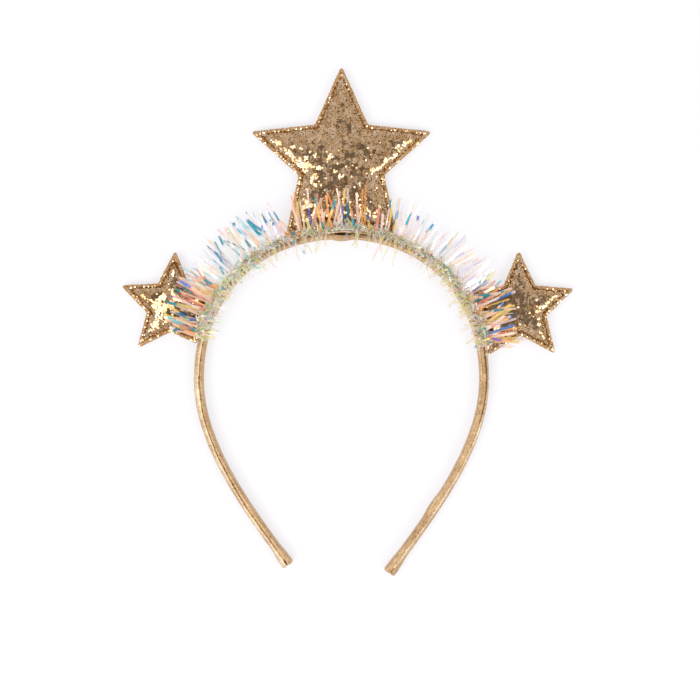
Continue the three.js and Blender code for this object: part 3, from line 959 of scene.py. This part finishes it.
def make_flakes(star, panel, tree):
    """The glitter on a star's panel."""
    clump_size, clump_tilt = star["clump"]
    mesh = grow(panel.data, tree, {
        "Radius": FLAKE_RADIUS * MM, "Spacing": FLAKE_SPACING * MM, "Patch size": PATCH_SIZE * MM,
        "Patch tilt": PATCH_TILT, "Clump size": clump_size * MM, "Clump tilt": clump_tilt,
        "Flake tilt": FLAKE_TILT, "Stray tilt": STRAY_TILT, "Stray share": star["stray"],
        "Rim tilt": star["rim_tilt"], "Rim painted light": star["rim_painted_light"], "Rim size": RIM_FLAKE_SIZE,
        "Lean X": star["lean"][0], "Lean Y": star["lean"][1], "Centre X": star["centre"][0] * MM,
        "Centre Y": star["centre"][1] * MM, "Bow": star["bow"]})
    return add_piece(f"star_{star['name']}_flakes", mesh)


def make_star(star, ground, backing, flakes, stitches):
    """One star: where it stands, its outline and its four pieces."""
    star["centre"], star["run"], star["up"], star["reach"] = stand_star(star)
    star["outline"], star["apothem"] = star_outline(star)
    panel = make_panel(star, ground)
    make_flakes(star, panel, flakes)
    make_stitches(star, stitches)
    make_backing(star, backing)


# Tinsel

def film_tree(material):
    """Film strips on root points that carry each strip's turn, size, curl and colours."""
    tree, add, sizes = new_tree("film_strips", ["Curl"])
    grid = add("GeometryNodeMeshGrid", {
        "Size X": 1.0, "Size Y": 1.0, "Vertices X": 2, "Vertices Y": STRIP_STEPS})
    strip = add("GeometryNodeTransform", {"Geometry": grid, "Translation": (0, 0.5, 0)})
    place = add("GeometryNodeInputPosition")
    height = add("ShaderNodeSeparateXYZ", {0: place}).outputs["Y"]
    strip = add("GeometryNodeStoreNamedAttribute", {
        "Geometry": strip, "Name": "reach", "Value": height}, data_type="FLOAT")
    turn, size, reach, curl = (
        add("GeometryNodeInputNamedAttribute", {"Name": name}, data_type=kind)
        for name, kind in (("turn", "QUATERNION"), ("size", "FLOAT_VECTOR"), ("reach", "FLOAT"),
                           ("curl", "FLOAT_VECTOR")))
    strips = add("GeometryNodeInstanceOnPoints", {
        "Points": sizes["Geometry"], "Instance": strip, "Rotation": turn, "Scale": size})
    real = add("GeometryNodeRealizeInstances", {"Geometry": strips})
    bend = add("ShaderNodeMath", {0: reach, 1: reach}, operation="MULTIPLY")
    bend = add("ShaderNodeMath", {0: bend, 1: sizes["Curl"]}, operation="MULTIPLY")
    offset = add("ShaderNodeVectorMath", {0: curl, "Scale": bend}, operation="SCALE")
    bent = add("GeometryNodeSetPosition", {"Geometry": real, "Offset": offset})
    return finish_tree(tree, bent, material, True)


def pick_film(colours, count):
    """Tints, each with its cover, drawn from a film's colours by how often each comes."""
    shares = np.array([share for _, _, share in colours], float)
    chosen = random.choice(len(colours), count, p=shares / shares.sum())
    return np.array([(*tone(colour), cover) for colour, cover, _ in colours])[chosen]


def film_roots(roots, aims, rolls, lengths, widths, plain, flash, curl):
    """A mesh of root points carrying what each film strip needs."""
    mesh = new_mesh("film_roots", roots, [])
    turns, curls = [], []
    for root, aim, roll, length in zip(roots, aims, rolls, lengths):
        forward = Vector(aim).normalized()
        side = forward.cross(Vector((0, 0, 1)))
        side = side.normalized() if side.length > UPRIGHT_LIMIT else Vector((1, 0, 0))
        basis = Matrix((side, forward, side.cross(forward))).transposed()
        turned = basis.to_quaternion() @ Matrix.Rotation(roll, 3, "Y").to_quaternion()
        turns.append(tuple(turned))
        bend = turned @ Vector((0, 0, 1)) * random.uniform(-curl, curl)
        tip = root[2] + forward.z * length + bend.z
        bend.z += max(0, FLOOR_CLEARANCE - tip)
        curls.append(tuple(bend * MM))
    start = random.uniform(*FLASH_START, len(roots))
    half = random.uniform(*FLASH_SPAN, len(roots)) / 2
    size = np.stack([widths, lengths, np.ones(len(widths))], axis=1) * MM
    for name, kind, values in (
            ("turn", "QUATERNION", turns), ("size", "FLOAT_VECTOR", size), ("curl", "FLOAT_VECTOR", curls),
            ("flash_middle", "FLOAT", start + half), ("flash_half", "FLOAT", half),
            ("tint", "FLOAT_COLOR", plain[:, :4]), ("cover", "FLOAT", plain[:, 4]),
            ("flash_tint", "FLOAT_COLOR", flash[:, :4]), ("flash_cover", "FLOAT", flash[:, 4])):
        store(mesh, name, kind, values)
    return mesh


def side_strips(side):
    """One side's strips: their roots, aims, rolls, lengths, widths, first and second colours."""
    count = side["count"]
    along = np.interp(np.arange(count) + random.uniform(0, 1, count), (0, count), TINSEL_ENDS)
    rise = np.radians(random.uniform(*side["rise"], count))
    tuft = np.stack(np.broadcast_arrays(along / STRIP_TUFT, TUFT_PLANE, side["rise"][0]), axis=1)
    slant = random.normal(0, STRIP_SLANT, count) + STRIP_SWAY * ripple(tuft, 1)
    slant = np.clip(slant, -SLANT_LIMIT, SLANT_LIMIT)
    length = random.uniform(*side["length"], count) * (1 + TUFT_LENGTH * ripple(tuft + TUFT_SHIFT, 1))
    short = (along > SHORT_STRETCH[0]) & (along < SHORT_STRETCH[1])
    length = np.where(short, SHORT_SHARE * length, length)
    middle = beside(along, CORE_OUT + STRIP_MIDDLE * length * np.cos(rise), CORE_HEIGHT)[:, :2]
    over = np.max([star_inset(star, middle) for star in STARS], axis=0) > -NEAR_STAR
    low = over & (rise < math.radians(LOW_RISE))
    rise = np.where(low, np.maximum(rise, math.radians(OVER_STAR_RISE)), rise)
    _, run, outward = place_at(along)
    plan = outward * np.cos(rise)[:, None] + run * slant[:, None]
    aim = np.concatenate([plan, np.sin(rise)[:, None]], axis=1)
    root = beside(along, CORE_OUT, CORE_HEIGHT)
    above = over & (rise < math.radians(INWARD_RISE))
    film, second_film = SIDE_FILMS[side["film"]]
    plain = pick_film(film, count)
    calm = (along > 0) & (random.uniform(0, 1, count) < CALM_RIGHT)
    flash = np.where(calm[:, None], plain, pick_film(second_film, count))
    # Over a star, the warm tints are painted reflection of the film against the glitter
    plain = np.where(above[:, None], pick_film(STAR_REFLECTION_FILM, count), plain)
    flash = np.where(above[:, None], pick_film(STAR_REFLECTION_FLASH, count), flash)
    width = random.uniform(*STRIP_WIDTH, count)
    roll = np.radians(random.normal(0, STRIP_ROLL, count))
    bare = np.zeros(count)
    for start, end, share in THIN_STRETCHES:
        bare = np.where(above & (along > start) & (along < end), share, bare)
    kept = random.uniform(0, 1, count) >= bare
    kept &= abs(along) >= side["clear"]
    return [column[kept] for column in (root, aim, roll, length, width, plain, flash)]


def make_strips(tree):
    """The garland's long strips, all sides in one piece."""
    columns = zip(*[side_strips(side) for side in STRIP_SIDES])
    roots = film_roots(*(np.concatenate(column) for column in columns), STRIP_CURL)
    return add_piece("tinsel_strips", grow(roots, tree, {"Curl": 1}), ["tinsel"])


def make_bits(tree):
    """Short ends of film crowding round the core, thrust outward where they would cover a slit."""
    along = random.uniform(*TINSEL_ENDS, BIT_COUNT)
    breadth = np.interp(abs(along), BIT_CLEAR_ENDS, BIT_BREADTH)
    out = CORE_OUT + BIT_OUTERMOST - breadth * random.uniform(0, 1, BIT_COUNT) ** BIT_CROWDING
    height = CORE_HEIGHT + random.uniform(0, BIT_LAYER, BIT_COUNT)
    turn = random.uniform(0, 2 * math.pi, BIT_COUNT)
    _, _, outward = place_at(along)
    for slit in SLITS:
        near = abs(along - slit["along"]) < slit["half_length"] + SLIT_CLEARANCE
        out = np.where(near, np.maximum(out, slit["out"] + slit["half_width"] + SLIT_CLEARANCE), out)
        swing = random.uniform(-SLIT_SWING, SLIT_SWING, BIT_COUNT)
        turn = np.where(near, np.arctan2(outward[:, 1], outward[:, 0]) + swing, turn)
    rise = np.radians(random.uniform(*BIT_RISE, BIT_COUNT))
    aim = np.stack([np.cos(turn) * np.cos(rise), np.sin(turn) * np.cos(rise), np.sin(rise)], axis=1)
    lime = (along < LIME_END)[:, None]
    plain = np.where(lime, pick_film(LIME_FILM, BIT_COUNT), pick_film(CORE_FILM, BIT_COUNT))
    flash = np.where(lime, pick_film(LIME_FILM, BIT_COUNT), pick_film(CORE_FILM, BIT_COUNT))
    roll = np.radians(random.normal(0, BIT_ROLL, BIT_COUNT))
    length = random.uniform(*BIT_LENGTH, BIT_COUNT)
    width = random.uniform(*BIT_WIDTH, BIT_COUNT)
    roots = film_roots(beside(along, out, height), aim, roll, length, width, plain, flash, BIT_CURL)
    return add_piece("tinsel_bits", grow(roots, tree, {"Curl": 1}))


def make_core(material):
    """The two-ply core, twisted along the band's outer edge."""
    tree, add, sizes = new_tree("tinsel_core", ["Radius", "Turn"])
    line = add("GeometryNodeMeshToCurve", {"Mesh": sizes["Geometry"]})
    length = add("GeometryNodeSplineParameter").outputs["Length"]
    turns = add("ShaderNodeMath", {0: length, 1: sizes["Turn"]}, operation="DIVIDE")
    tilt = add("ShaderNodeMath", {0: turns, 1: 2 * math.pi}, operation="MULTIPLY")
    twisted = add("GeometryNodeSetCurveTilt", {"Curve": line, "Tilt": tilt})
    ply = add("GeometryNodeCurvePrimitiveCircle", {"Resolution": PLY_SIDES, "Radius": sizes["Radius"]})
    oval = add("GeometryNodeTransform", {"Geometry": ply, "Scale": (1, PLY_FLATNESS, 1)})
    body = add("GeometryNodeCurveToMesh", {"Curve": twisted, "Profile Curve": oval, "Fill Caps": True})
    finish_tree(tree, body, material, True)
    stations = np.arange(*TINSEL_ENDS, CORE_STEP)
    path = beside(stations, CORE_OUT, CORE_HEIGHT)
    line = new_mesh("core_line", path, [], [(i, i + 1) for i in range(len(path) - 1)])
    mesh = grow(line, tree, {"Radius": CORE_RADIUS * MM, "Turn": CORE_TURN * MM})
    return add_piece("tinsel_core", mesh)


# Stage: a pale floor, soft light and the camera above

def make_floor(material):
    """The sheet that the headband lies on."""
    mesh = bpy.data.meshes.new("floor")
    corners = [(x * FLOOR_REACH, y * FLOOR_REACH, -FLOOR_GAP * MM)
               for x, y in ((-1, -1), (1, -1), (1, 1), (-1, 1))]
    mesh.from_pydata(corners, [], [(0, 1, 2, 3)])
    mesh.materials.append(material)
    floor = bpy.data.objects.new("floor", mesh)
    bpy.context.scene.collection.objects.link(floor)


def make_light():
    """A pale sky, darker overhead, and two softboxes on the side of the leg ends."""
    world = bpy.data.worlds.new("studio")
    bpy.context.scene.world = world
    world.use_nodes = True
    tree = world.node_tree
    add = partial(add_node, tree)
    ray = add("ShaderNodeTexCoord").outputs["Generated"]
    height = add("ShaderNodeVectorMath", {0: ray, 1: DARK_POLE}, operation="DOT_PRODUCT")
    level = add("ShaderNodeValToRGB", {"Fac": height.outputs["Value"]})
    ramp = level.color_ramp
    while len(ramp.elements) < len(SKY):
        ramp.elements.new(0.5)
    for element, (position, radiance) in zip(ramp.elements, SKY):
        element.position = position
        element.color = (*(radiance * hue / SKY_STRENGTH for hue in SKY_HUE), 1)
    set_inputs(tree.nodes["Background"], {"Color": level, "Strength": SKY_STRENGTH})
    for row in SOFTBOXES:
        light = bpy.data.lights.new(row["name"], "AREA")
        light.size = row["size"]
        light.energy = row["radiance"] * math.pi * row["size"] ** 2
        light.color = row["hue"]
        softbox = bpy.data.objects.new(row["name"], light)
        softbox.location = row["at"]
        softbox.rotation_euler = Vector(row["at"]).to_track_quat("Z", "Y").to_euler()
        bpy.context.scene.collection.objects.link(softbox)
    bpy.context.scene.view_settings.view_transform = "Standard"


def make_camera():
    """The camera, straight above, at the distance that gives the picture its scale at its level."""
    camera = bpy.data.cameras.new("camera")
    camera.lens = LENS
    camera.sensor_width = SENSOR
    away = PICTURE_SIZE * PICTURE_SCALE * LENS / SENSOR
    eye = bpy.data.objects.new("camera", camera)
    eye.location = Vector((AXIS + PICTURE_MIDDLE[0], DROP + PICTURE_MIDDLE[1], PICTURE_LEVEL + away)) * MM
    bpy.context.scene.collection.objects.link(eye)
    bpy.context.scene.camera = eye


make_camera()
make_light()
make_floor(backlit_paper())
make_band(gold_leatherette())
star_parts = (glitter_ground(), backing_cloth(), flake_tree(glitter_foil()), stitch_tree(gold_thread()))
for row in STARS:
    make_star(row, *star_parts)
film = film_tree(iridescent_film())
make_strips(film)
make_bits(film)
make_core(core_thread())
